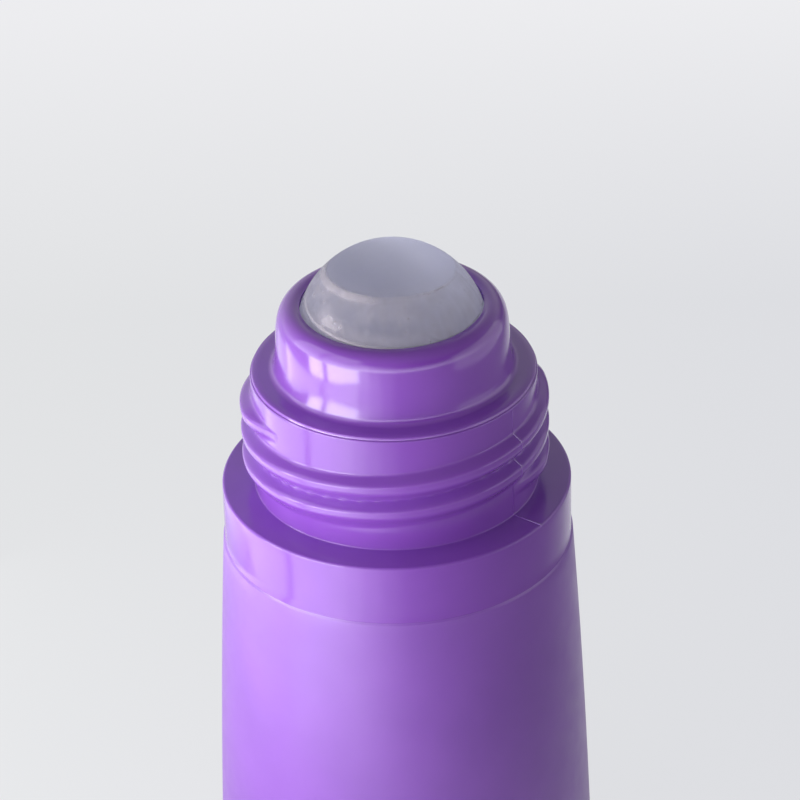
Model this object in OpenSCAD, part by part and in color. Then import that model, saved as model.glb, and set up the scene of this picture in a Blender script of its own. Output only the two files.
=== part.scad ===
// Roll-on bottle: a hollow bottle, a ball housing snapped into its neck, and a rolling ball.
// Millimetres. The bottle stands on Z = 0 with its axis on Z, and the front faces -Y.

/* [Bottle body] */
// Diameter of the flat shoulder and of the polished band under it
shoulder_d = 37; // [35:0.5:39]
// Height from the standing ring to the shoulder
body_h = 52; // [44:1:70]
// Height of the polished band under the shoulder
band_h = 6.95; // [5:0.05:10]
// Step outwards from the polished band to the satin panel
panel_step = 0.2; // [0.05:0.05:0.3]
// Diameter of the body just above its heel
base_d = 41.6; // [40:0.2:43]
// Radius of the long arc that the flank follows
flank_arc_r = 1200; // [600:50:1600]
// Radius of the rounded heel
heel_r = 3; // [2:0.25:4]
// Width of the flat ring that the bottle stands on
standing_w = 1.5; // [1:0.1:2.5]
// Rise of the pushed-up base at its centre
pushup_h = 1.8; // [1:0.1:3]
// Wall of the body
body_wall = 1; // [0.8:0.05:1.1]
// Thickness of the base
base_t = 1.2; // [1.2:0.1:1.8]
// Thickness of the shoulder
shoulder_t = 1.2; // [1:0.1:1.6]
// Rounding of the shoulder's outer edge
rim_round = 0.3; // [0.2:0.05:0.6]
// Rounding inside the cavity, under the shoulder
cavity_round = 1.5; // [1:0.1:2]

/* [Neck] */
// Diameter of the neck between and beside its thread
neck_d = 30; // [29.5:0.1:31]
// Height of the neck above the shoulder
neck_h = 13; // [12:0.05:15]
// Wall of the neck
neck_wall = 1.4; // [1.2:0.05:1.6]
// Fillet where the neck rises from the shoulder
foot_fillet = 0.3; // [0.2:0.05:1]
// Rounding of the neck's top edge
neck_edge = 0.2; // [0.15:0.05:0.3]
// Rounding where the neck's bore opens into the cavity
bore_round = 0.8; // [0.5:0.1:1]

/* [Ball] */
// Diameter of the ball
ball_d = 20; // [19:0.1:20.4]
// Wall of the hollow ball
ball_wall = 1.5; // [1.2:0.1:2]
// Height of the ball's centre above the neck
ball_rise = 4; // [3.6:0.05:4.4]
// Height of the lapped tongue on the lower half
lap_h = 0.8; // [0.5:0.1:1.2]
// Clearance round the lapped tongue
lap_gap = 0.05; // [0.03:0.01:0.08]

/* [Ball housing] */
// Gap between the ball and its socket
run_gap = 0.2; // [0.15:0.05:0.3]
// Wall of the collar at its top, outside the ball
collar_wall = 1.8; // [1.5:0.05:2]
// Draft of the collar's outside, in degrees
collar_draft = 6; // [4:0.25:8]
// Height of the lip's crest above the ball's centre
lip_rise = 3.75; // [3.4:0.05:4.1]
// Half of the width of the lip's oval section
lip_half_w = 1.75; // [1.5:0.05:1.9]
// Half of the height of the lip's oval section
lip_half_h = 2.2; // [1.8:0.05:2.5]
// Diameter of the flange that rests on the neck
flange_d = 29.7; // [29.3:0.1:30]
// Thickness of the flange
flange_t = 0.4; // [0.3:0.05:0.6]
// Width over which the flange's edge is rounded down to the neck
flange_round_w = 0.9; // [0.6:0.05:1.1]
// Fillet between the collar and the flange
collar_fillet = 0.7; // [0.5:0.05:0.9]
// Length of the plug inside the neck
plug_len = 9; // [8:0.1:10]
// Wall of the plug
plug_wall = 1.2; // [1:0.05:1.3]
// Clearance between the plug and the neck's bore
fit_gap = 0.05; // [0.02:0.01:0.08]
// Chamfer that leads the plug into the neck
lead_in = 0.6; // [0.4:0.05:0.8]
// Radius of the snap bead round the plug
snap_r = 0.35; // [0.25:0.05:0.45]
// Depth of the snap bead below the top of the neck
snap_depth = 5.5; // [5:0.1:6.5]
// Thickness of the web that joins the plug to the collar, below the flange
web_t = 0.7; // [0.5:0.05:1]
// Wall of the cup that holds the ball
cup_wall = 1.1; // [0.9:0.05:1.2]
// Diameter of the feed hole in the cup
feed_d = 7; // [6:0.25:8]
// Number of feed slots round the feed hole
feed_slots = 6; // [4:1:8]
// Width of a feed slot
slot_w = 1.6; // [1.2:0.1:2]
// Distance of a feed slot's end from the axis
slot_reach = 7; // [6:0.1:7.5]

/* [Hidden] */

// Straight steps that stand for one rounding, for the lip, for the long flank and for the base
arc_steps = 6;
lip_steps = 16;
flank_steps = 14;
base_steps = 8;
// Facets of a full turn in a preview
round_fn = 128;
// How far a cut runs past the face it opens
overrun = 1;

shoulder_r = shoulder_d / 2;
base_r = base_d / 2;
neck_r = neck_d / 2;
bore_r = neck_r - neck_wall;
neck_top = body_h + neck_h;
panel_top = body_h - band_h;
ring_outer = base_r - heel_r;
ring_inner = ring_outer - standing_w;

ball_r = ball_d / 2;
ball_z = neck_top + ball_rise;
socket_r = ball_r + run_gap;
lap_r = ball_r - ball_wall / 2;

plug_r = bore_r - fit_gap;
snap_z = neck_top - snap_depth;
flange_r = flange_d / 2;
flange_top = neck_top + flange_t;
cup_r = socket_r + cup_wall;
feed_r = feed_d / 2;
lip_r = socket_r + collar_wall - lip_half_w;
lip_z = ball_z + lip_rise - lip_half_h;
// Where the lip's oval turns into the collar's drafted wall
lip_turn = atan(lip_half_h / lip_half_w * tan(collar_draft));

// Centre of the flank's arc, which runs from the heel up to the panel's top edge
flank_top = [shoulder_r + panel_step, panel_top];
flank_foot = [base_r, heel_r];
flank_chord = flank_top - flank_foot;
flank_inward = [-flank_chord[1], flank_chord[0]] / norm(flank_chord);
flank_centre = (flank_top + flank_foot) / 2
    + flank_inward * sqrt(pow(flank_arc_r, 2) - pow(norm(flank_chord) / 2, 2));

// Points along an oval's arc, both ends included
function oval(centre, half_w, half_h, from, to, steps) =
    [for (i = [0 : steps]) let (a = from + (to - from) * i / steps)
        centre + [half_w * cos(a), half_h * sin(a)]];

// Points along a round arc, both ends included
function arc(centre, radius, from, to) = oval(centre, radius, radius, from, to, arc_steps);

// Outside radius of the flank at a height
function flank_radius(z) = flank_centre[0] + sqrt(pow(flank_arc_r, 2) - pow(z - flank_centre[1], 2));

// The flank from the heel up to the panel's top edge, moved inwards by a wall
function flank(wall) =
    [for (i = [0 : flank_steps]) let (z = heel_r + (panel_top - heel_r) * i / flank_steps)
        [flank_radius(z) - wall, z]];

// The pushed-up base from the axis out to the standing ring, raised by a thickness
function pushup(raise) =
    [for (i = [0 : base_steps]) let (share = i / base_steps)
        [ring_inner * share, pushup_h * (1 - pow(share, 2)) + raise]];

// Outside of the collar at a height above the flange, from the tangent point on the lip
function collar_radius(z) =
    lip_r + lip_half_w * cos(lip_turn)
    + (lip_z + lip_half_h * sin(lip_turn) - z) * tan(collar_draft);

module bottle_outline() {
    polygon(concat(
        pushup(0),
        arc([ring_outer, heel_r], heel_r, -90, 0),
        flank(0),
        [[shoulder_r, panel_top + panel_step]],
        arc([shoulder_r - rim_round, body_h - rim_round], rim_round, 0, 90),
        arc([neck_r + foot_fillet, body_h + foot_fillet], foot_fillet, 270, 180),
        arc([neck_r - neck_edge, neck_top - neck_edge], neck_edge, 0, 90),
        [[0, neck_top]]
    ));
}

module cavity_outline() {
    heel_inner = heel_r - body_wall;
    heel_start = -asin((heel_r - base_t) / heel_inner);
    roof = body_h - shoulder_t;
    polygon(concat(
        pushup(base_t),
        arc([ring_outer, heel_r], heel_inner, heel_start, 0),
        flank(body_wall),
        arc([shoulder_r - body_wall - cavity_round, roof - cavity_round], cavity_round, 0, 90),
        arc([bore_r + bore_round, roof + bore_round], bore_round, 270, 180),
        [[bore_r, neck_top + overrun], [0, neck_top + overrun]]
    ));
}

// The groove inside the neck that the snap bead clicks into
module snap_groove_outline() {
    translate([plug_r, snap_z]) circle(r = snap_r + fit_gap, $fn = round_fn);
}

module bottle() {
    color("mediumpurple")
        rotate_extrude($fn = round_fn)
            difference() {
                bottle_outline();
                cavity_outline();
                snap_groove_outline();
            }
}

// The collar with its rounded lip, and the fillet that spreads it onto the flange
module collar_outline() {
    fillet_z = flange_top + collar_fillet;
    fillet_r = collar_radius(fillet_z) + collar_fillet / cos(collar_draft);
    polygon(concat(
        [[lip_r - lip_half_w, neck_top], [fillet_r, neck_top]],
        arc([fillet_r, fillet_z], collar_fillet, 270, 180 + collar_draft),
        oval([lip_r, lip_z], lip_half_w, lip_half_h, lip_turn, 180, lip_steps)
    ));
}

// The flange on top of the neck, with its edge rounded over its whole thickness
module flange_outline() {
    polygon(concat(
        [[lip_r, flange_top], [lip_r, neck_top]],
        oval([flange_r - flange_round_w, neck_top], flange_round_w, flange_t, 0, 90, arc_steps)
    ));
}

// The plug that seals in the bore, with its web, its snap bead and its lead-in chamfer
module plug_outline() {
    web_bottom = neck_top - web_t;
    plug_bottom = neck_top - plug_len;
    polygon([
        [lip_r - lip_half_w, neck_top], [lip_r - lip_half_w, web_bottom],
        [plug_r - plug_wall, web_bottom], [plug_r - plug_wall, plug_bottom],
        [plug_r - lead_in, plug_bottom], [plug_r, plug_bottom + lead_in], [plug_r, neck_top]
    ]);
    translate([plug_r, snap_z]) circle(r = snap_r, $fn = round_fn);
}

// The cup under the ball, from its feed hole up to the web
module cup_outline() {
    intersection() {
        translate([0, ball_z]) circle(r = cup_r, $fn = round_fn);
        translate([feed_r, ball_z - cup_r - overrun])
            square([cup_r, neck_top - (ball_z - cup_r - overrun)]);
    }
}

module housing_outline() {
    difference() {
        union() {
            collar_outline();
            flange_outline();
            plug_outline();
            cup_outline();
        }
        translate([0, ball_z]) circle(r = socket_r, $fn = round_fn);
    }
}

module feed_slot() {
    translate([0, -slot_w / 2, ball_z - cup_r - overrun])
        cube([slot_reach, slot_w, cup_r + overrun]);
}

module ball_housing() {
    color("blueviolet")
        difference() {
            rotate_extrude($fn = round_fn) housing_outline();
            for (i = [0 : feed_slots - 1]) rotate(360 / feed_slots * i) feed_slot();
        }
}

// Half of the ball's shell in section, above or below the equator
module half_shell_outline(above) {
    difference() {
        circle(r = ball_r, $fn = round_fn);
        circle(r = ball_r - ball_wall, $fn = round_fn);
        translate([-ball_r - overrun, -ball_r - overrun]) square([ball_r + overrun, 2 * (ball_r + overrun)]);
        translate([-overrun, above ? -ball_r - overrun : 0])
            square([ball_r + 2 * overrun, ball_r + overrun]);
    }
}

// The tongue on the lower half, grown by a clearance where it cuts the upper half
module tongue_outline(gap) {
    intersection() {
        difference() {
            circle(r = ball_r, $fn = round_fn);
            circle(r = ball_r - ball_wall, $fn = round_fn);
        }
        square([lap_r + gap, lap_h + gap]);
    }
}

module ball_upper_half() {
    color("lavender")
        translate([0, 0, ball_z])
            rotate_extrude($fn = round_fn)
                difference() {
                    half_shell_outline(true);
                    square([lap_r + lap_gap, lap_h + lap_gap]);
                }
}

module ball_lower_half() {
    color("thistle")
        translate([0, 0, ball_z])
            rotate_extrude($fn = round_fn)
                union() {
                    half_shell_outline(false);
                    tongue_outline(0);
                }
}

bottle();
ball_housing();
ball_upper_half();
ball_lower_half();
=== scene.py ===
"""Looks of the roll-on bottle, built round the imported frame. Lengths are in metres."""
import math
import random
import bmesh
import bpy
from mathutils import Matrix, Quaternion, Vector, noise


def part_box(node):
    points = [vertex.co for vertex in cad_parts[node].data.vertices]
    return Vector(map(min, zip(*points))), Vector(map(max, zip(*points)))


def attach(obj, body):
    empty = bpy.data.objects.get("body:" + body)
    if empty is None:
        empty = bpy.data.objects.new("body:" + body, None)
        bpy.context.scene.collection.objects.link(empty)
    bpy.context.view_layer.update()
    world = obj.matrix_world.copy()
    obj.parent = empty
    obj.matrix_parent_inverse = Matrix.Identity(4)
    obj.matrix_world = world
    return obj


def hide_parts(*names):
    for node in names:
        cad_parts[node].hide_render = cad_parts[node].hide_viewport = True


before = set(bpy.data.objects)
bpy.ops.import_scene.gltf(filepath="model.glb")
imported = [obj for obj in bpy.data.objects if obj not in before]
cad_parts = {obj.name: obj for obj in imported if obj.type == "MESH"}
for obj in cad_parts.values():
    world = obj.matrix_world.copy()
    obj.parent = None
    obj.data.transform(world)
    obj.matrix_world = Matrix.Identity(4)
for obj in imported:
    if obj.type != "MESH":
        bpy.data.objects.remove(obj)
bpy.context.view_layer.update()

# Sizes that the frame gives
MM = 0.001
BASE_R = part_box("bottle")[1].x
NECK_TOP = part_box("bottle")[1].z
PLUG_BOTTOM, LIP_TOP = (corner.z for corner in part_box("ball_housing"))
FLANGE_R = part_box("ball_housing")[1].x
BALL_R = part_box("ball_upper_half")[1].x
BALL_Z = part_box("ball_upper_half")[0].z

# Bottle body
SHOULDER_R = 18.5 * MM
SHOULDER_Z = 52 * MM
BAND_H = 6.95 * MM
PANEL_STEP = 0.2 * MM
PANEL_STEP_H = 0.32 * MM
FLANK_ARC_R = 1200 * MM
HEEL_R = 3 * MM
STANDING_W = 1.5 * MM
PUSHUP_H = 1.8 * MM
BODY_WALL = 1 * MM
BASE_T = 1.2 * MM
SHOULDER_T = 1.2 * MM
RIM_ROUND = 0.3 * MM
CAVITY_ROUND = 1.5 * MM

# Step between the polished band and the satin panel, in shares of its width and height: where its
# soft curve passes, and how high the satin reaches
STEP_CURVE = ((0.85, 0.25), (0.15, 0.75))
SATIN_REACH = 0.6

# Neck
NECK_R = 15 * MM
NECK_WALL = 1.4 * MM
FOOT_FILLET = 0.12 * MM
NECK_EDGE = 0.2 * MM
BORE_ROUND = 0.8 * MM

# Thread: two starts, right-handed
THREAD_LEAD = 6 * MM
THREAD_STARTS = 2
THREAD_DEPTH = 1.2 * MM
THREAD_TURN = math.radians(432)
THREAD_TOP = 10.45 * MM
THREAD_TOP_ANGLE = math.radians(125)
CREST_W = 0.95 * MM
UPPER_FLANK_H = 0.69 * MM
LOWER_FLANK_H = 1.36 * MM
CREST_ROUND = 0.35 * MM
ROOT_ROUND = 0.3 * MM
RUN_OUT = math.radians(24)

# Mould parting line on the neck and the shoulder
PARTING_ANGLE = math.radians(53)
PARTING_W = 0.09 * MM
PARTING_H = 0.06 * MM
PARTING_REACH = 1 * MM

# Ball housing
RUN_GAP = 0.2 * MM
LIP_HALF_W = 1.75 * MM
LIP_HALF_H = 2.2 * MM
COLLAR_WALL = 1.8 * MM
COLLAR_DRAFT = math.radians(6)
COLLAR_WAIST_DRAFT = math.radians(2.5)
COLLAR_FILLET = 0.7 * MM
FLANGE_T = 0.4 * MM
FLANGE_ROUND_W = 0.9 * MM
FLANGE_EDGE_W = 0.05 * MM
FLANGE_EDGE_H = 0.22 * MM
FIT_GAP = 0.05 * MM
PLUG_WALL = 1.2 * MM
LEAD_IN = 0.6 * MM
SNAP_R = 0.35 * MM
SNAP_DEPTH = 5.5 * MM
WEB_T = 0.7 * MM
CUP_WALL = 1.1 * MM
FEED_R = 3.5 * MM
FEED_SLOTS = 6
SLOT_W = 1.6 * MM
SLOT_REACH = 7 * MM

# Ball
BALL_WALL = 1.5 * MM
LAP_H = 0.8 * MM
LAP_GAP = 0.05 * MM

# Gel that dries on the ball. Latitudes, angles and widths are in degrees, and angles are counted
# from the front, rightwards. Thicknesses are shares of the most.
FILM_MAX = 0.12 * MM
FILM_SINK = 0.03 * MM
FILM_BASE = 0.22
FILM_BARE = 0.15
FILM_TOP_LATITUDE = 56

# Its edge: a circle that lies higher at the front, where its turn is in radians, and its wobble
FILM_EDGE_LATITUDE = 49.2
FILM_EDGE_LEAN = 2.6
FILM_EDGE_LEAN_TURN = 0.17
FILM_EDGE_WOBBLE = 0.5
FILM_EDGE_BUMPS = 5
FILM_EDGE_RISE = 1.6

# Its streaks and its clouds: thickness, bumps round the ball, and height in degrees
STREAKS = (0.12, 13, 14)
CLOUDS = (0.2, 3, 9)

# Its ridge under the edge, its blob, its seam with a painted highlight, and its specks
RIDGE_W = 6
RIDGE_SOFTNESS = 1.6
LEFT_RIDGE_ANGLE = -58
LEFT_RIDGE_REACH = 50
LEFT_RIDGE_SHARE = 0.5
RIGHT_RIDGE_ANGLE = 50
RIGHT_RIDGE_REACH = 26
RIGHT_RIDGE_SHARE = 0.35
BLOB_LATITUDE = 28.5
BLOB_ANGLE = -45
BLOB_CORE = 2
BLOB_FADE = 2.5
BLOB_WIDENING = 1.65
BLOB_LUMPS = 3.4
BLOB_LUMP_SIZE = (2.4, 3.2)
BLOB_SHARE = 0.36
# The seam: thicker, cloudier gel along the lip's edge at the front, a painted highlight there
SEAM_HIGHLIGHT_LATITUDE = 20.3
SEAM_HIGHLIGHT_BEND = 0.0006
SEAM_HIGHLIGHT_LEAN = 0.035
SEAM_HIGHLIGHT_W = 0.9
SEAM_HIGHLIGHT_REACH = 75
SEAM_HIGHLIGHT_SHARE = 0.9
SPECKS = 70
SPECK_SEED = 7
SPECK_SPREAD = 0.9
SPECK_LATITUDES = (8, 46)
SPECK_SHARES = (0.12, 0.36)

# Smoothness of the turned pieces
BOTTLE_SIDES = 320
HOUSING_SIDES = 256
BALL_SIDES = 192
FILM_SIDES = 360
ARC_STEPS = 8
HEEL_STEPS = 12
LIP_STEPS = 40
COLLAR_ROWS = 24
SOCKET_STEPS = 30
CUP_STEPS = 12
BALL_STEPS = 48
FILM_LOW_STEPS = 30
FILM_STEPS = 94
FILM_BACK_STEPS = 20
FLANK_ROW = 1.4 * MM
BAND_ROW = 1.1 * MM
CAVITY_ROW = 3 * MM
NECK_ROW = 0.12 * MM
MERGE = 0.001 * MM
SMOOTH_ANGLE = math.radians(38)

# Colours of the plastics and of the gel
PURPLE = (0.227, 0.072, 0.455)
PURPLE_DEEP = (0.205, 0.064, 0.421)
PURPLE_HOUSING = (0.25, 0.08, 0.5)
PURPLE_HOUSING_DEEP = (0.23, 0.071, 0.467)
MILK = (0.3, 0.305, 0.39)
MILK_SHADE = (0.27, 0.27, 0.35)
MILK_THROUGH = (0.895, 0.9, 0.97)
MILK_THROUGH_SHARE = 0.87
GEL = (0.7, 0.63, 0.7)
GEL_CLOUD = (0.02, 0.62)

# Purple plastic: how much light goes under its skin, how many millimetres deep in each colour, and
# how wide its drifts of tint and gloss are
UNDER_SKIN_SHARE = 0.12
UNDER_SKIN_DEPTH = (0.8, 0.35, 1.2)
TINT_GRAIN = 9 * MM
GLOSS_GRAIN = 2.5 * MM

# The range that a noise field mostly keeps to
NOISE_MIDDLE = (0.3, 0.7)

# Floor: its own colour, the pale glow that the camera and the gloss see, and how the gloss sees the
# glow dimmer towards the right front
FLOOR_SIZE = 4
PALE = (0.76, 0.77, 0.78)
GLOW_SHARE = 0.9
GLOW_LEFT = (0.811, 0.82, 0.836)
GLOW_RIGHT = (0.778, 0.786, 0.82)
GLOW_FAR = (0.915, 0.915, 0.94)
GLOW_SIDE_REACH = 50 * MM
GLOW_FAR_START = 128 * MM
GLOW_FAR_END = 235 * MM
DIM_SIDE = (2, -1, 0)
DIM_START = 40 * MM
DIM_END = 160 * MM
DIM_GLOW = 0.35

# Panels that light the studio: bearing in degrees leftwards from the front, distance, shift, width,
# foot and top in millimetres, and brightness, where 1 is white. The shift is to the left hand of
# somebody who looks at the panel from the bottle.
PANELS = {
    "window_low_left": (67, 66, 28.25, 39.5, 44, 70, 6.7),
    "window_low_right": (67, 66, -5.25, 17.5, 44, 70, 6.7),
    "window_high_left": (67, 66, 24.25, 43.5, 72, 140, 1.4),
    "window_high_right": (67, 66, -24.25, 43.5, 72, 140, 1.4),
    "bounce_left": (67, 66, 24.25, 43.5, 2, 42, 2.4),
    "bounce_right": (67, 66, -42.5, 80, 2, 42, 2),
    "front_low_near": (26.5, 66, 0, 12, 2, 42, 1.7),
    "front_low_middle": (16, 66, 0, 12, 2, 42, 0.9),
    "front_low_far": (5.5, 66, 0, 12, 2, 42, 0.35),
    "front_fade_near": (26.5, 66, 0, 12, 44, 100, 1.6),
    "front_fade_middle": (16, 66, 0, 12, 44, 100, 0.9),
    "front_fade_far": (5.5, 66, 0, 12, 44, 100, 0.4),
    "bounce_behind": (125, 80, 0, 50, 2, 42, 0.7),
    "right_wall": (-90, 80, 0, 110, 44, 110, 0.58),
}

# Bands of the room's light: bearing of the brightest side, mean brightness, swing, and brightness
# by height
HORIZON = (35, 1.5, 1.45, ((0, 1), (0.35, 0)))
BACKDROP = (162, 0.32, 0.5, ((0, 0), (0.35, 1), (0.8, 0)))
CEILING = (0, 0.16, 0, ((0.35, 0), (0.8, 1)))

# Sizes that follow from the others
BORE_R = NECK_R - NECK_WALL
PANEL_TOP = SHOULDER_Z - BAND_H
LIP_R = BALL_R + RUN_GAP + COLLAR_WALL - LIP_HALF_W
LIP_Z = LIP_TOP - LIP_HALF_H
SOCKET_R = BALL_R + RUN_GAP
COLLAR_END_DRAFT = 3 * COLLAR_DRAFT - 2 * COLLAR_WAIST_DRAFT

# Camera, as the photograph was taken
CAMERA_DISTANCE = 371.3 * MM
CAMERA_ELEVATION = math.radians(32)
CAMERA_ROLL = math.radians(1.69)
FRAME_PX = 800
FOCAL_PX = 3500
RIM_CENTRE_PX = (396.6, 472.4)
SENSOR = 36
CLIP_START = 10 * MM
CLIP_END = 10


def deselect_all():
    bpy.ops.object.select_all(action="DESELECT")


def oval(centre, half_w, half_h, start, end, steps=ARC_STEPS):
    """Points (radius, height) along an oval's arc, with its angles in degrees."""
    turns = [math.radians(start + (end - start) * i / steps) for i in range(steps + 1)]
    return [(centre[0] + half_w * math.cos(a), centre[1] + half_h * math.sin(a)) for a in turns]


def arc(centre, radius, start, end, steps=ARC_STEPS):
    return oval(centre, radius, radius, start, end, steps)


def column(radius, low, high, spacing):
    """Points up a straight wall."""
    count = max(1, round(abs(high - low) / spacing))
    return [(radius, low + (high - low) * i / count) for i in range(count + 1)]


def turned(name, outline, sides):
    """Draws an outline of (radius, height) points by extruding a vertex, and spins it round Z."""
    deselect_all()
    bpy.ops.mesh.primitive_plane_add(size=MM)
    piece = bpy.context.object
    piece.name = name
    piece.data.name = name
    bpy.ops.object.mode_set(mode="EDIT")
    bpy.ops.mesh.select_all(action="SELECT")
    bpy.ops.mesh.merge(type="CENTER")
    bpy.ops.transform.translate(value=(outline[0][0], 0, outline[0][1]))
    for (r0, z0), (r1, z1) in zip(outline, outline[1:]):
        bpy.ops.mesh.extrude_vertices_move(TRANSFORM_OT_translate={"value": (r1 - r0, 0, z1 - z0)})
    bpy.ops.mesh.select_all(action="SELECT")
    bpy.ops.mesh.spin(steps=sides, angle=math.tau, center=(0, 0, 0), axis=(0, 0, 1))
    bpy.ops.mesh.select_all(action="SELECT")
    bpy.ops.mesh.remove_doubles(threshold=MERGE)
    bpy.ops.mesh.normals_make_consistent(inside=False)
    bpy.ops.object.mode_set(mode="OBJECT")
    return piece


def smooth(piece):
    deselect_all()
    piece.select_set(True)
    bpy.context.view_layer.objects.active = piece
    bpy.ops.object.shade_smooth_by_angle(angle=SMOOTH_ANGLE)


def flank_radius(z):
    """Outside radius of the body's long curved flank at a height."""
    top = Vector((SHOULDER_R + PANEL_STEP, PANEL_TOP))
    foot = Vector((BASE_R, HEEL_R))
    chord = top - foot
    inward = Vector((-chord.y, chord.x)).normalized()
    centre = (top + foot) / 2 + inward * math.sqrt(FLANK_ARC_R**2 - (chord.length / 2) ** 2)
    return centre.x + math.sqrt(FLANK_ARC_R**2 - (z - centre.y) ** 2)


def flank(wall, low, high, spacing):
    return [(flank_radius(z) - wall, z) for _, z in column(0, low, high, spacing)]


def pushup(raised, steps=8):
    """The pushed-up base, from the axis out to the standing ring."""
    ring_inner = BASE_R - HEEL_R - STANDING_W
    shares = [i / steps for i in range(steps + 1)]
    return [(ring_inner * s, PUSHUP_H * (1 - s * s) + raised) for s in shares]


def bottle_outline():
    """The bottle's section: from the base's middle up the outside to the neck's top, and back."""
    ring_outer = BASE_R - HEEL_R
    step_z = PANEL_TOP + PANEL_STEP_H
    step = [(SHOULDER_R + PANEL_STEP * w, PANEL_TOP + PANEL_STEP_H * h) for w, h in STEP_CURVE]
    roof = SHOULDER_Z - SHOULDER_T
    heel_inner = HEEL_R - BODY_WALL
    heel_start = -math.degrees(math.asin((HEEL_R - BASE_T) / heel_inner))
    groove_z = NECK_TOP - SNAP_DEPTH
    groove_r = SNAP_R + FIT_GAP
    groove_reach = math.degrees(math.acos(FIT_GAP / groove_r))
    outside = (
        pushup(0)
        + arc((ring_outer, HEEL_R), HEEL_R, -90, 0, HEEL_STEPS)
        + flank(0, HEEL_R, PANEL_TOP, FLANK_ROW)[1:]
        + step
        + column(SHOULDER_R, step_z, SHOULDER_Z - RIM_ROUND, BAND_ROW)[:-1]
        + arc((SHOULDER_R - RIM_ROUND, SHOULDER_Z - RIM_ROUND), RIM_ROUND, 0, 90)
        + arc((NECK_R + FOOT_FILLET, SHOULDER_Z + FOOT_FILLET), FOOT_FILLET, 270, 180)
        + column(NECK_R, SHOULDER_Z + FOOT_FILLET, NECK_TOP - NECK_EDGE, NECK_ROW)[1:-1]
        + arc((NECK_R - NECK_EDGE, NECK_TOP - NECK_EDGE), NECK_EDGE, 0, 90, 4)
    )
    inside = (
        [(BORE_R, NECK_TOP)]
        + arc((BORE_R - FIT_GAP, groove_z), groove_r, groove_reach, -groove_reach)
        + arc((BORE_R + BORE_ROUND, roof + BORE_ROUND), BORE_ROUND, 180, 270, 4)
        + arc((SHOULDER_R - BODY_WALL - CAVITY_ROUND, roof - CAVITY_ROUND), CAVITY_ROUND, 90, 0, 4)
        + flank(BODY_WALL, PANEL_TOP, HEEL_R, CAVITY_ROW)
        + arc((ring_outer, HEEL_R), heel_inner, 0, heel_start, 5)[1:]
        + pushup(BASE_T)[::-1]
    )
    return outside + inside


def soft_min(a, b, reach):
    """The smaller of two heights, rounded where they meet."""
    near = max(reach - abs(a - b), 0) / reach
    return min(a, b) - near * near * reach / 4


def soft_max(a, b, reach):
    return -soft_min(-a, -b, reach)


def ridge_height(angle, z, start):
    """How far one thread start stands out of the neck at an angle from the front, rightwards."""
    height = 0
    turn = angle + start * math.tau / THREAD_STARTS
    while turn > THREAD_TOP_ANGLE:
        turn -= math.tau
    while turn > THREAD_TOP_ANGLE - THREAD_TURN:
        from_end = min(THREAD_TOP_ANGLE - turn, turn - THREAD_TOP_ANGLE + THREAD_TURN)
        share = min(from_end / RUN_OUT, 1)
        sunk = THREAD_DEPTH * (1 - share * share * (3 - 2 * share))
        below = SHOULDER_Z + THREAD_TOP - (THREAD_TOP_ANGLE - turn) / math.tau * THREAD_LEAD - z
        upper = THREAD_DEPTH * (below + UPPER_FLANK_H) / UPPER_FLANK_H
        lower = THREAD_DEPTH * (CREST_W + LOWER_FLANK_H - below) / LOWER_FLANK_H
        body = soft_min(soft_min(upper, lower, CREST_ROUND), THREAD_DEPTH, CREST_ROUND) - sunk
        height = max(height, soft_max(body, 0, ROOT_ROUND))
        turn -= math.tau
    return height


def raise_thread(piece):
    """Moves the neck's outside wall out to the two thread starts."""
    low = SHOULDER_Z + FOOT_FILLET
    high = NECK_TOP - NECK_EDGE
    for vertex in piece.data.vertices:
        x, y, z = vertex.co
        radius = math.hypot(x, y)
        if abs(radius - NECK_R) < MERGE and low < z < high:
            angle = math.atan2(x, -y)
            height = max(ridge_height(angle, z, start) for start in range(THREAD_STARTS))
            vertex.co.x *= 1 + height / radius
            vertex.co.y *= 1 + height / radius


def on_neck_or_shoulder(point):
    """Whether a point lies on the outside that shows the parting line."""
    outside = point.xy.length > NECK_R - MERGE
    return outside and SHOULDER_Z - RIM_ROUND < point.z < NECK_TOP - NECK_EDGE


def raise_parting_line(piece):
    """Cuts a narrow strip along the mould's parting plane and lifts its middle."""
    normal = Vector((math.cos(PARTING_ANGLE), math.sin(PARTING_ANGLE), 0))
    deselect_all()
    piece.select_set(True)
    bpy.context.view_layer.objects.active = piece
    bpy.ops.object.mode_set(mode="EDIT")
    bpy.ops.mesh.select_mode(type="FACE")
    for offset in (-PARTING_W, PARTING_W, 0):
        bpy.ops.mesh.select_all(action="DESELECT")
        mesh = bmesh.from_edit_mesh(piece.data)
        for face in mesh.faces:
            middle = face.calc_center_median()
            face.select_set(on_neck_or_shoulder(middle) and abs(middle.dot(normal)) < PARTING_REACH)
        bmesh.update_edit_mesh(piece.data)
        bpy.ops.mesh.bisect(plane_co=normal * offset, plane_no=normal, threshold=MERGE / 10)
    bpy.ops.mesh.select_mode(type="VERT")
    bpy.ops.mesh.select_all(action="DESELECT")
    mesh = bmesh.from_edit_mesh(piece.data)
    mesh.normal_update()
    for vertex in mesh.verts:
        if on_neck_or_shoulder(vertex.co) and abs(vertex.co.dot(normal)) < MERGE:
            vertex.co += vertex.normal * PARTING_H
    bmesh.update_edit_mesh(piece.data)
    bpy.ops.object.mode_set(mode="OBJECT")


def socket_height(radius):
    return BALL_Z - math.sqrt(SOCKET_R**2 - radius**2)


def collar_wall(top_r, top_z, foot_z):
    """The collar's waisted wall, from under the lip down to the fillet: steepest at its middle."""
    half = (top_z - foot_z) / 2
    bow = COLLAR_END_DRAFT - COLLAR_WAIST_DRAFT
    points = []
    for i in range(COLLAR_ROWS + 1):
        s = 1 - 2 * i / COLLAR_ROWS
        out = COLLAR_WAIST_DRAFT * (1 - s) + bow * (1 - s**3) / 3
        points.append((top_r + half * out, foot_z + half * (1 + s)))
    return points


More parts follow.
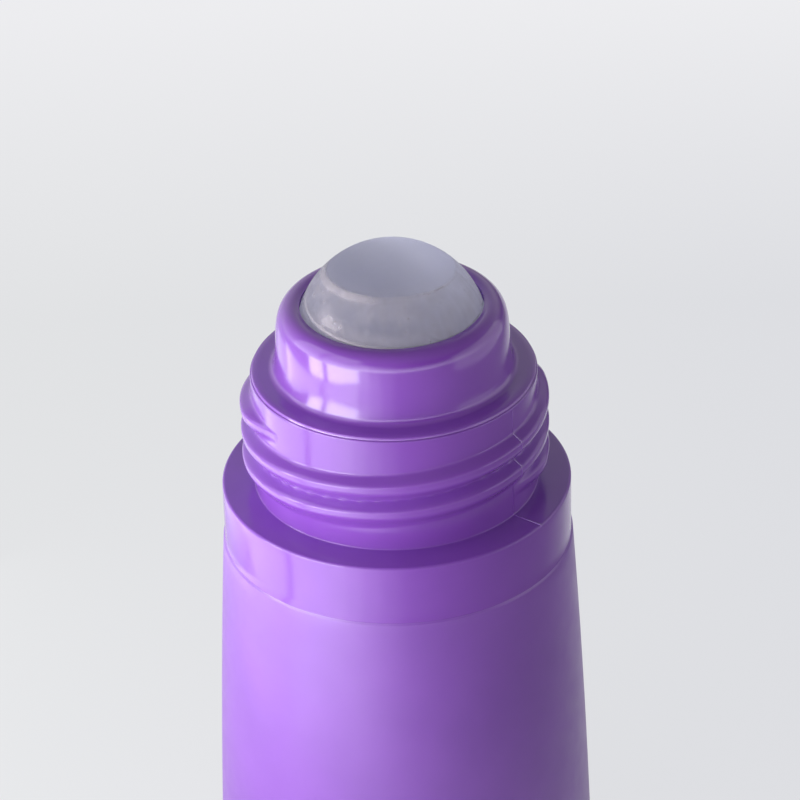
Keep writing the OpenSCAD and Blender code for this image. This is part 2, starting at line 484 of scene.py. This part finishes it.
def housing_outline():
    """The housing's section: cup, lip, collar, flange, plug and web, all round."""
    lip_turn = math.degrees(math.atan(LIP_HALF_H / LIP_HALF_W * math.tan(COLLAR_END_DRAFT)))
    flange_top = NECK_TOP + FLANGE_T
    flange_round = (FLANGE_R - FLANGE_ROUND_W, NECK_TOP + FLANGE_EDGE_H)
    wall_r = LIP_R + LIP_HALF_W * math.cos(math.radians(lip_turn))
    wall_z = LIP_Z + LIP_HALF_H * math.sin(math.radians(lip_turn))
    fillet_z = flange_top + COLLAR_FILLET
    foot_z = fillet_z - COLLAR_FILLET * math.sin(COLLAR_END_DRAFT)
    wall = collar_wall(wall_r, wall_z, foot_z)
    fillet_r = wall[-1][0] + COLLAR_FILLET * math.cos(COLLAR_END_DRAFT)
    fillet_start = 180 + math.degrees(COLLAR_END_DRAFT)
    plug_r = BORE_R - FIT_GAP
    snap_z = NECK_TOP - SNAP_DEPTH
    cup_r = SOCKET_R + CUP_WALL
    web_z = NECK_TOP - WEB_T
    cup_start = math.degrees(math.asin((web_z - BALL_Z) / cup_r))
    cup_end = -math.degrees(math.acos(FEED_R / cup_r))
    lip = oval((LIP_R, LIP_Z), LIP_HALF_W, LIP_HALF_H, lip_turn, 180, LIP_STEPS)
    lip = [p for p in lip if math.hypot(p[0], p[1] - BALL_Z) > SOCKET_R or p[0] > LIP_R]
    rim_angle = math.degrees(math.asin((lip[-1][1] - BALL_Z) / SOCKET_R))
    socket_start = -math.degrees(math.acos(FEED_R / SOCKET_R))
    return (
        arc((0, BALL_Z), SOCKET_R, socket_start, rim_angle, SOCKET_STEPS)
        + lip[::-1]
        + wall[1:-1]
        + arc((fillet_r, fillet_z), COLLAR_FILLET, fillet_start, 270)
        + oval(flange_round, FLANGE_ROUND_W - FLANGE_EDGE_W, FLANGE_T - FLANGE_EDGE_H, 90, 8, 10)
        + [(FLANGE_R, NECK_TOP), (plug_r, NECK_TOP)]
        + arc((plug_r, snap_z), SNAP_R, 90, -90)
        + [(plug_r, PLUG_BOTTOM + LEAD_IN), (plug_r - LEAD_IN, PLUG_BOTTOM)]
        + [(plug_r - PLUG_WALL, PLUG_BOTTOM), (plug_r - PLUG_WALL, web_z)]
        + arc((0, BALL_Z), cup_r, cup_start, cup_end, CUP_STEPS)
        + [(FEED_R, socket_height(FEED_R))]
    )


def cut_feed_slots(piece):
    """Cuts the slots that run out from the feed hole through the cup."""
    deselect_all()
    cutters = []
    place = (0, 0, BALL_Z - SOCKET_R)
    for i in range(FEED_SLOTS // 2):
        turn = math.tau / FEED_SLOTS * i
        bpy.ops.mesh.primitive_cube_add(size=1, location=place, rotation=(0, 0, turn))
        cutter = bpy.context.object
        cutter.scale = (2 * SLOT_REACH, SLOT_W, SOCKET_R + CUP_WALL)
        cutters.append(cutter)
    for cutter in cutters:
        cut = piece.modifiers.new("slot", "BOOLEAN")
        cut.operation = "DIFFERENCE"
        cut.solver = "EXACT"
        cut.object = cutter
        bpy.context.view_layer.objects.active = piece
        bpy.ops.object.modifier_apply(modifier=cut.name)
    for cutter in cutters:
        bpy.data.objects.remove(cutter)


def half_ball_outline(up):
    """One half shell of the ball with its lapped edge, up to 1 or down to -1."""
    inner_r = BALL_R - BALL_WALL
    lap_r = BALL_R - BALL_WALL / 2 + (LAP_GAP if up > 0 else 0)
    lap_z = LAP_H + (LAP_GAP if up > 0 else 0)
    inner_start = math.degrees(math.asin(lap_z / inner_r))
    return (
        arc((0, BALL_Z), BALL_R, 90 * up, 0, BALL_STEPS)
        + [(lap_r, BALL_Z), (lap_r, BALL_Z + lap_z)]
        + arc((0, BALL_Z), inner_r, inner_start, 90 * up, BALL_STEPS // 2)
    )


def film_outline():
    """The gel's skin from the ball's lowest point up past its edge, and back inside the wall."""
    inner_r = BALL_R - FILM_SINK
    return (
        arc((0, BALL_Z), BALL_R, -90, 0, FILM_LOW_STEPS)
        + arc((0, BALL_Z), BALL_R, 0, FILM_TOP_LATITUDE, FILM_STEPS)[1:]
        + arc((0, BALL_Z), inner_r, FILM_TOP_LATITUDE, -90, FILM_BACK_STEPS)
    )


def bell(distance, reach):
    return math.exp(-((distance / reach) ** 2))


def ring_noise(turn, bumps, level):
    """Noise round a circle, with a bump for about each unit of the circle's radius."""
    return noise.noise(Vector((bumps * math.cos(turn), bumps * math.sin(turn), level)))


def drift(turn, latitude, thickness, bumps, height):
    """A soft drift of the gel's thickness, up and down."""
    return thickness * ring_noise(turn, bumps, latitude / height)


def film_share(latitude, angle, specks):
    """How thick the gel lies, from 0 to 1 of its most, and below 0 where the ball is bare."""
    turn = math.radians(angle)
    squeeze = math.cos(math.radians(latitude))
    edge = FILM_EDGE_LATITUDE + FILM_EDGE_LEAN * math.cos(turn + FILM_EDGE_LEAN_TURN)
    edge += FILM_EDGE_WOBBLE * ring_noise(turn, FILM_EDGE_BUMPS, 0)
    below = edge - latitude
    share = FILM_BASE + drift(turn, latitude, *STREAKS) + drift(turn, latitude, *CLOUDS)
    left = bell(math.remainder(angle - LEFT_RIDGE_ANGLE, 360), LEFT_RIDGE_REACH)
    right = bell(angle - RIGHT_RIDGE_ANGLE, RIGHT_RIDGE_REACH)
    plateau = bell(max(abs(below - RIDGE_W / 2) - RIDGE_W / 4, 0), RIDGE_SOFTNESS)
    share += LEFT_RIDGE_SHARE * left * plateau
    share += RIGHT_RIDGE_SHARE * right * bell(below - FILM_EDGE_RISE, 1)
    beside = (angle - BLOB_ANGLE) * squeeze / BLOB_WIDENING
    blob = math.hypot(latitude - BLOB_LATITUDE, beside)
    lump_h, lump_w = BLOB_LUMP_SIZE
    blob += BLOB_LUMPS * noise.noise(Vector((latitude / lump_h, angle / lump_w, 7)))
    share += BLOB_SHARE * bell(max(blob - BLOB_CORE, 0), BLOB_FADE)
    # A painted highlight: thicker, cloudier gel in a light band along the lip's edge, front only
    seam_highlight = SEAM_HIGHLIGHT_LATITUDE + SEAM_HIGHLIGHT_BEND * angle**2 - SEAM_HIGHLIGHT_LEAN * angle
    share += SEAM_HIGHLIGHT_SHARE * bell(latitude - seam_highlight, SEAM_HIGHLIGHT_W) * bell(angle, SEAM_HIGHLIGHT_REACH)
    for speck_latitude, speck_angle, size in specks:
        away = abs(latitude - speck_latitude)
        if away < 3 * SPECK_SPREAD:
            beside = (angle - speck_angle) * squeeze
            share += size * bell(math.hypot(away, beside), SPECK_SPREAD)
    rise = min(max(below / FILM_EDGE_RISE, -1), 1)
    return min(share, 1) * max(rise, 0) + FILM_BARE * min(rise, 0)


def scatter_specks():
    """Latitude, angle and share of tiny bubbles and dried grains, the same every time."""
    chance = random.Random(SPECK_SEED)
    ranges = (SPECK_LATITUDES, (-180, 180), SPECK_SHARES)
    return [[chance.uniform(*limits) for limits in ranges] for _ in range(SPECKS)]


def lay_film(piece):
    """Moves the skin out by the gel's thickness, and keeps the thickness for the material."""
    specks = scatter_specks()
    centre = Vector((0, 0, BALL_Z))
    values = []
    for vertex in piece.data.vertices:
        out = vertex.co - centre
        share = 0
        if out.length > BALL_R - FILM_SINK / 2:
            latitude = math.degrees(math.asin(max(min(out.z / out.length, 1), -1)))
            angle = math.degrees(math.atan2(out.x, -out.y))
            share = film_share(latitude, angle, specks)
            vertex.co = centre + out * (1 + share * FILM_MAX / out.length)
        values.append(max(share, 0))
    thickness = piece.data.attributes.new("gel", "FLOAT", "POINT")
    thickness.data.foreach_set("value", values)


def new_material(name):
    """A new node material, with its nodes and its shader."""
    material = bpy.data.materials.new(name)
    material.use_nodes = True
    return material, material.node_tree, material.node_tree.nodes["Principled BSDF"]


def grain(tree, size, detail):
    """Noise in the piece's own metres, with features about as wide as the size given."""
    place = tree.nodes.new("ShaderNodeTexCoord")
    field = tree.nodes.new("ShaderNodeTexNoise")
    field.inputs["Scale"].default_value = 1 / size
    field.inputs["Detail"].default_value = detail
    tree.links.new(place.outputs["Object"], field.inputs["Vector"])
    return field.outputs["Fac"]


def spread(tree, field, low, high):
    """Stretches the middle of a noise field over a range of values."""
    spreader = tree.nodes.new("ShaderNodeMapRange")
    spreader.inputs["From Min"].default_value = NOISE_MIDDLE[0]
    spreader.inputs["From Max"].default_value = NOISE_MIDDLE[1]
    spreader.inputs["To Min"].default_value = low
    spreader.inputs["To Max"].default_value = high
    tree.links.new(field, spreader.inputs["Value"])
    return spreader.outputs["Result"]


def tint(tree, shader, field, colour_a, colour_b):
    """Lets the base colour drift between two shades."""
    blend = tree.nodes.new("ShaderNodeMix")
    blend.data_type = "RGBA"
    blend.inputs["A"].default_value = (*colour_a, 1)
    blend.inputs["B"].default_value = (*colour_b, 1)
    tree.links.new(spread(tree, field, 0, 1), blend.inputs["Factor"])
    tree.links.new(blend.outputs["Result"], shader.inputs["Base Color"])


def relief(tree, shader, *layers):
    """Stacks layers of bump, each a field with its height in metres."""
    normal = None
    for field, height in layers:
        bump = tree.nodes.new("ShaderNodeBump")
        bump.inputs["Strength"].default_value = 1
        bump.inputs["Distance"].default_value = height
        tree.links.new(field, bump.inputs["Height"])
        if normal:
            tree.links.new(normal, bump.inputs["Normal"])
        normal = bump.outputs["Normal"]
    tree.links.new(normal, shader.inputs["Normal"])


def purple_plastic(name, roughness, ior, skin, colours=(PURPLE_DEEP, PURPLE)):
    """Coloured polypropylene. The skin is a list of bump layers: feature size, detail, height."""
    material, tree, shader = new_material(name)
    tint(tree, shader, grain(tree, TINT_GRAIN, 2), *colours)
    gloss = spread(tree, grain(tree, GLOSS_GRAIN, 4), *roughness)
    tree.links.new(gloss, shader.inputs["Roughness"])
    relief(tree, shader, *((grain(tree, size, detail), height) for size, detail, height in skin))
    shader.inputs["IOR"].default_value = ior
    shader.inputs["Subsurface Weight"].default_value = UNDER_SKIN_SHARE
    shader.inputs["Subsurface Radius"].default_value = UNDER_SKIN_DEPTH
    shader.inputs["Subsurface Scale"].default_value = MM
    return material


def polished_purple():
    """The blown bottle where its mould is polished."""
    skin = [(3 * MM, 1, 0.012 * MM), (0.4 * MM, 2, 0.0004 * MM)]
    return purple_plastic("polished_purple", (0.14, 0.2), 1.6, skin)


def glossy_purple():
    """The moulded housing, glossier than the bottle."""
    skin = [(4 * MM, 1, 0.008 * MM)]
    colours = (PURPLE_HOUSING_DEEP, PURPLE_HOUSING)
    return purple_plastic("glossy_purple", (0.13, 0.18), 1.7, skin, colours)


def satin_purple():
    """The blown bottle where its mould is blasted."""
    skin = [(4 * MM, 1, 0.012 * MM), (0.12 * MM, 2, 0.004 * MM)]
    return purple_plastic("satin_purple", (0.34, 0.42), 1.75, skin)


def milky_plastic():
    """Natural polypropylene of the ball: cloudy, and light passes through it from the far side."""
    material, tree, shader = new_material("milky_plastic")
    tint(tree, shader, grain(tree, 5 * MM, 3), MILK_SHADE, MILK)
    gloss = spread(tree, grain(tree, 1.5 * MM, 4), 0.2, 0.3)
    tree.links.new(gloss, shader.inputs["Roughness"])
    relief(tree, shader, (grain(tree, 1.2 * MM, 3), 0.004 * MM))
    shader.inputs["IOR"].default_value = 1.35
    shader.inputs["Subsurface Weight"].default_value = 1
    shader.inputs["Subsurface Radius"].default_value = (1, 1, 1)
    shader.inputs["Subsurface Scale"].default_value = 10 * MM
    through = tree.nodes.new("ShaderNodeBsdfTranslucent")
    through.inputs["Color"].default_value = (*MILK_THROUGH, 1)
    clear = tree.nodes.new("ShaderNodeBsdfTransparent")
    clear.inputs["Color"].default_value = (*MILK_THROUGH, 1)
    body = tree.nodes.new("ShaderNodeMixShader")
    body.inputs["Fac"].default_value = MILK_THROUGH_SHARE
    lit = tree.nodes.new("ShaderNodeMixShader")
    path = tree.nodes.new("ShaderNodeLightPath")
    tree.links.new(shader.outputs["BSDF"], body.inputs[1])
    tree.links.new(through.outputs["BSDF"], body.inputs[2])
    tree.links.new(path.outputs["Is Shadow Ray"], lit.inputs["Fac"])
    tree.links.new(body.outputs["Shader"], lit.inputs[1])
    tree.links.new(clear.outputs["BSDF"], lit.inputs[2])
    tree.links.new(lit.outputs["Shader"], tree.nodes["Material Output"].inputs["Surface"])
    return material


def drying_gel():
    """Clear gel, cloudier where it lies thicker."""
    material, tree, shader = new_material("drying_gel")
    shader.inputs["Base Color"].default_value = (*GEL, 1)
    shader.inputs["Roughness"].default_value = 0.3
    shader.inputs["IOR"].default_value = 1.33
    gel = tree.nodes.new("ShaderNodeAttribute")
    gel.attribute_name = "gel"
    cloud = tree.nodes.new("ShaderNodeMapRange")
    cloud.inputs["To Min"].default_value = GEL_CLOUD[0]
    cloud.inputs["To Max"].default_value = GEL_CLOUD[1]
    tree.links.new(gel.outputs["Fac"], cloud.inputs["Value"])
    tree.links.new(cloud.outputs["Result"], shader.inputs["Alpha"])
    return material


def make_bottle():
    piece = turned("bottle_shell", bottle_outline(), BOTTLE_SIDES)
    raise_thread(piece)
    raise_parting_line(piece)
    piece.data.materials.append(polished_purple())
    piece.data.materials.append(satin_purple())
    satin_top = PANEL_TOP + PANEL_STEP_H * SATIN_REACH
    for face in piece.data.polygons:
        face.material_index = 1 if face.center.z < satin_top else 0
    smooth(piece)
    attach(piece, "bottle_body")
    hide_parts("bottle")


def make_housing():
    piece = turned("ball_housing_shell", housing_outline(), HOUSING_SIDES)
    cut_feed_slots(piece)
    piece.data.materials.append(glossy_purple())
    smooth(piece)
    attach(piece, "bottle_body")
    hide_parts("ball_housing")


def make_ball():
    finish = milky_plastic()
    upper = ("ball_upper_shell", "ball_upper_half", 1)
    lower = ("ball_lower_shell", "ball_lower_half", -1)
    for name, node, up in (upper, lower):
        piece = turned(name, half_ball_outline(up), BALL_SIDES)
        piece.data.materials.append(finish)
        smooth(piece)
        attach(piece, "ball")
        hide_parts(node)


def make_film():
    piece = turned("gel_film", film_outline(), FILM_SIDES)
    lay_film(piece)
    piece.data.materials.append(drying_gel())
    smooth(piece)
    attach(piece, "ball")


def make_camera():
    """Aims the camera so that the shoulder rim's centre falls where the photograph has it."""
    data = bpy.data.cameras.new("camera")
    data.sensor_width = SENSOR
    data.lens = FOCAL_PX / FRAME_PX * SENSOR
    data.clip_start = CLIP_START
    data.clip_end = CLIP_END
    camera = bpy.data.objects.new("camera", data)
    bpy.context.scene.collection.objects.link(camera)
    bpy.context.scene.camera = camera
    rim_centre = Vector((0, 0, SHOULDER_Z))
    back = Vector((0, -math.cos(CAMERA_ELEVATION), math.sin(CAMERA_ELEVATION)))
    camera.location = rim_centre + back * CAMERA_DISTANCE
    level = (-back).to_track_quat("-Z", "Y")
    roll = Quaternion((0, 0, 1), -CAMERA_ROLL)
    half = FRAME_PX / 2
    seen = Vector((RIM_CENTRE_PX[0] - half, half - RIM_CENTRE_PX[1], -FOCAL_PX))
    aim = seen.rotation_difference(Vector((0, 0, -1)))
    camera.rotation_mode = "QUATERNION"
    camera.rotation_quaternion = level @ roll @ aim


def glow_blend(tree, place, start, end):
    """A blend of two colours along one direction of the floor."""
    along = tree.nodes.new("ShaderNodeMapRange")
    along.inputs["From Min"].default_value = start
    along.inputs["From Max"].default_value = end
    blend = tree.nodes.new("ShaderNodeMix")
    blend.data_type = "RGBA"
    tree.links.new(place, along.inputs["Value"])
    tree.links.new(along.outputs["Result"], blend.inputs["Factor"])
    return blend


def math_node(tree, operation, first, second):
    """A maths node of two inputs, where a plain number goes on its socket."""
    node = tree.nodes.new("ShaderNodeMath")
    node.operation = operation
    for socket, value in zip(node.inputs, (first, second)):
        if isinstance(value, (int, float)):
            socket.default_value = value
        else:
            tree.links.new(value, socket)
    return node.outputs["Value"]


def glow_colour(tree, place):
    """The glow's colour: from left to right, and paler far behind."""
    split = tree.nodes.new("ShaderNodeSeparateXYZ")
    tree.links.new(place, split.inputs["Vector"])
    sides = glow_blend(tree, split.outputs["X"], -GLOW_SIDE_REACH, GLOW_SIDE_REACH)
    sides.inputs["A"].default_value = (*GLOW_LEFT, 1)
    sides.inputs["B"].default_value = (*GLOW_RIGHT, 1)
    depth = glow_blend(tree, split.outputs["Y"], GLOW_FAR_START, GLOW_FAR_END)
    depth.inputs["B"].default_value = (*GLOW_FAR, 1)
    tree.links.new(sides.outputs["Result"], depth.inputs["A"])
    return depth.outputs["Result"]


def gloss_dimming(tree, place):
    """How much of the glow the gloss sees, less towards the right front."""
    beside = tree.nodes.new("ShaderNodeVectorMath")
    beside.operation = "DOT_PRODUCT"
    beside.inputs[1].default_value = DIM_SIDE
    dimming = tree.nodes.new("ShaderNodeMapRange")
    dimming.inputs["From Min"].default_value = DIM_START
    dimming.inputs["From Max"].default_value = DIM_END
    dimming.inputs["To Min"].default_value = 1
    dimming.inputs["To Max"].default_value = DIM_GLOW
    tree.links.new(place, beside.inputs[0])
    tree.links.new(beside.outputs["Value"], dimming.inputs["Value"])
    return dimming.outputs["Result"]


def pale_floor():
    """A plain pale floor that keeps the object's shadow. The camera and the gloss see its glow."""
    material, tree, shader = new_material("pale_floor")
    shader.inputs["Base Color"].default_value = (*PALE, 1)
    shader.inputs["Roughness"].default_value = 0.8
    path = tree.nodes.new("ShaderNodeLightPath")
    place = tree.nodes.new("ShaderNodeTexCoord")
    glow = tree.nodes.new("ShaderNodeEmission")
    blend = tree.nodes.new("ShaderNodeMixShader")
    camera = path.outputs["Is Camera Ray"]
    gloss = path.outputs["Is Glossy Ray"]
    through = path.outputs["Is Transmission Ray"]
    strength = math_node(tree, "MAXIMUM", camera, gloss_dimming(tree, place.outputs["Object"]))
    seen = math_node(tree, "MAXIMUM", camera, math_node(tree, "MAXIMUM", gloss, through))
    share = math_node(tree, "MULTIPLY", seen, GLOW_SHARE)
    tree.links.new(glow_colour(tree, place.outputs["Object"]), glow.inputs["Color"])
    tree.links.new(strength, glow.inputs["Strength"])
    tree.links.new(share, blend.inputs["Fac"])
    tree.links.new(shader.outputs["BSDF"], blend.inputs[1])
    tree.links.new(glow.outputs["Emission"], blend.inputs[2])
    tree.links.new(blend.outputs["Shader"], tree.nodes["Material Output"].inputs["Surface"])
    return material


def make_stage():
    deselect_all()
    bpy.ops.mesh.primitive_plane_add(size=FLOOR_SIZE)
    floor = bpy.context.object
    floor.name = "floor"
    floor.data.materials.append(pale_floor())


def make_panels():
    """Soft upright panels round the bottle, each lit evenly."""
    for name, (bearing, distance, shift, width, foot, top, brightness) in PANELS.items():
        turn = math.radians(bearing)
        outward = Vector((-math.sin(turn), -math.cos(turn), 0))
        leftward = Vector((-outward.y, outward.x, 0))
        place = outward * distance * MM + leftward * shift * MM
        place.z = (foot + top) / 2 * MM
        data = bpy.data.lights.new(name, "AREA")
        data.shape = "RECTANGLE"
        data.size = width * MM
        data.size_y = (top - foot) * MM
        data.energy = math.pi * data.size * data.size_y * brightness
        light = bpy.data.objects.new(name, data)
        bpy.context.scene.collection.objects.link(light)
        light.location = place
        light.rotation_mode = "QUATERNION"
        light.rotation_quaternion = (-outward).to_track_quat("-Z", "Y")
        light.visible_camera = False


def room_band(tree, level, height, bearing, mean, swing, stops):
    """One band of the room's light: brightest towards its bearing, and fading with height."""
    turn = math.radians(bearing)
    towards = tree.nodes.new("ShaderNodeVectorMath")
    towards.operation = "DOT_PRODUCT"
    towards.inputs[1].default_value = (-math.sin(turn), -math.cos(turn), 0)
    side = tree.nodes.new("ShaderNodeMath")
    side.operation = "MULTIPLY_ADD"
    side.inputs[1].default_value = swing
    side.inputs[2].default_value = mean
    fade = tree.nodes.new("ShaderNodeValToRGB")
    ramp = fade.color_ramp.elements
    for stop, (position, value) in ((ramp[0], stops[0]), (ramp[-1], stops[-1])):
        stop.position = position
        stop.color = (value, value, value, 1)
    for position, value in stops[1:-1]:
        ramp.new(position).color = (value, value, value, 1)
    tree.links.new(level, towards.inputs[0])
    tree.links.new(towards.outputs["Value"], side.inputs[0])
    tree.links.new(height, fade.inputs["Fac"])
    return math_node(tree, "MULTIPLY", side.outputs["Value"], fade.outputs["Color"])


def make_world():
    """A grey room, brightest along the horizon at the left front and darkest overhead."""
    world = bpy.data.worlds.new("studio")
    bpy.context.scene.world = world
    world.use_nodes = True
    tree = world.node_tree
    place = tree.nodes.new("ShaderNodeTexCoord")
    split = tree.nodes.new("ShaderNodeSeparateXYZ")
    flat = tree.nodes.new("ShaderNodeVectorMath")
    flat.operation = "MULTIPLY"
    flat.inputs[1].default_value = (1, 1, 0)
    level = tree.nodes.new("ShaderNodeVectorMath")
    level.operation = "NORMALIZE"
    tree.links.new(place.outputs["Generated"], split.inputs["Vector"])
    tree.links.new(place.outputs["Generated"], flat.inputs[0])
    tree.links.new(flat.outputs["Vector"], level.inputs[0])
    total = 0
    for band in (HORIZON, BACKDROP, CEILING):
        light = room_band(tree, level.outputs["Vector"], split.outputs["Z"], *band)
        total = math_node(tree, "ADD", total, light)
    tree.nodes["Background"].inputs["Color"].default_value = (1, 1, 1, 1)
    tree.links.new(total, tree.nodes["Background"].inputs["Strength"])


make_camera()
make_stage()
make_panels()
make_world()
make_bottle()
make_housing()
make_ball()
make_film()

bpy.context.scene.view_settings.view_transform = "Standard"
